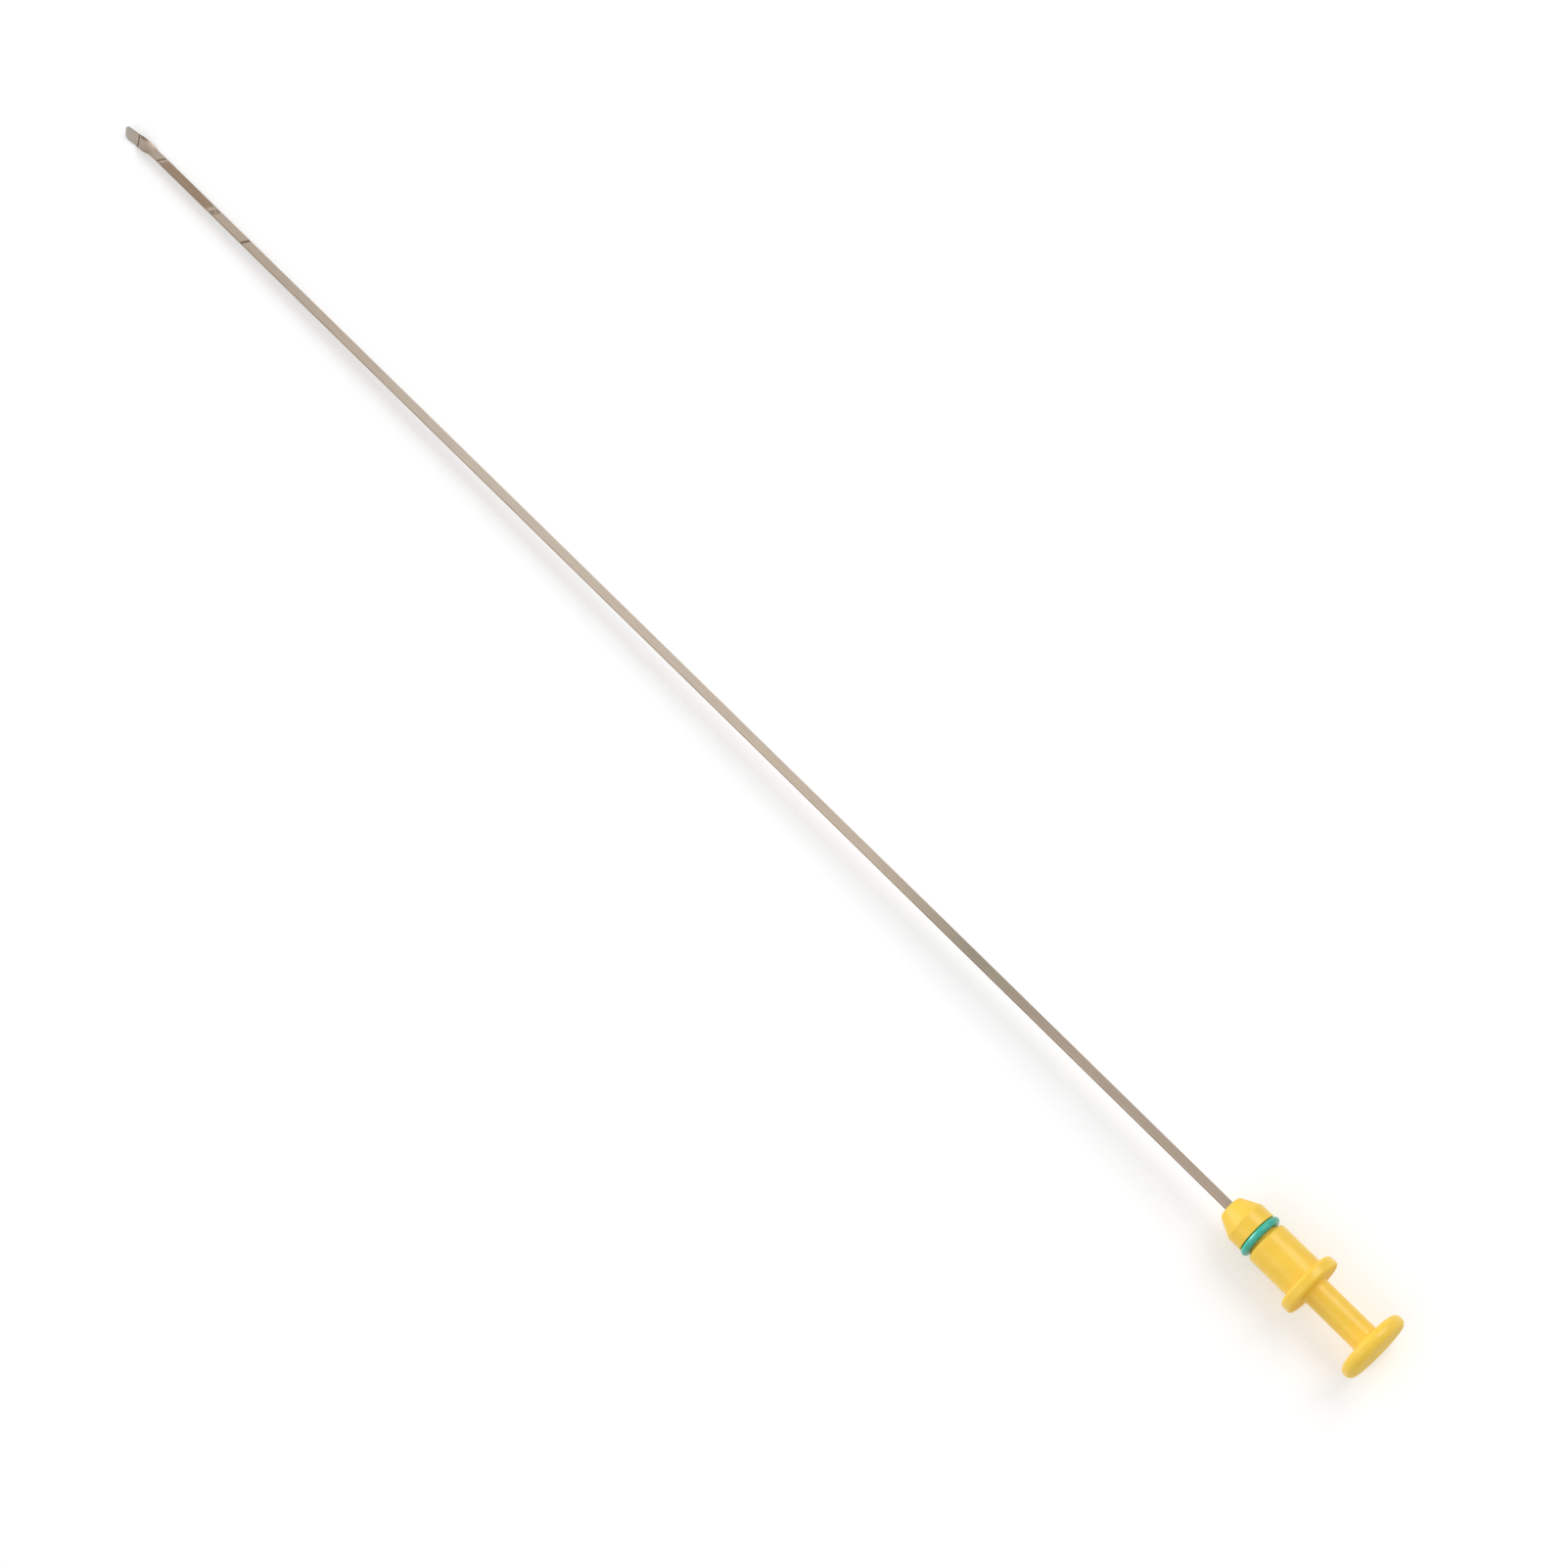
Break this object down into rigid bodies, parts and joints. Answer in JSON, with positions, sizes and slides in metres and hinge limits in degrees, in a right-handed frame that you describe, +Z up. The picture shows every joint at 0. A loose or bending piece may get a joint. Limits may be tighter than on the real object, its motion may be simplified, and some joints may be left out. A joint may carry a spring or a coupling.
{
  "type": "engine oil dipstick",
  "caption": "Long steel dipstick blade with a twisted tip and a serrated gauge zone, moulded into a plug handle with a stop flange, a pull head and a rubber seal ring.",
  "frame": {"origin": "centre of the bounding box on the plane that the dipstick lies on", "axes": "+Z up from that plane, +X along the dipstick towards the head of the handle"},
  "size_m": [0.5727, 0.023, 0.023],
  "materials": {
    "yellow_plastic": "satin moulded plastic, warm yellow",
    "seal_rubber": "smooth blue-green rubber",
    "blade_steel": "dull rolled steel, browner in the gauge zone"
  },
  "bodies": {
    "root": {"handle": "yellow_plastic", "seal_ring": "seal_rubber", "blade": "blade_steel"}
  },
  "joints": []
}
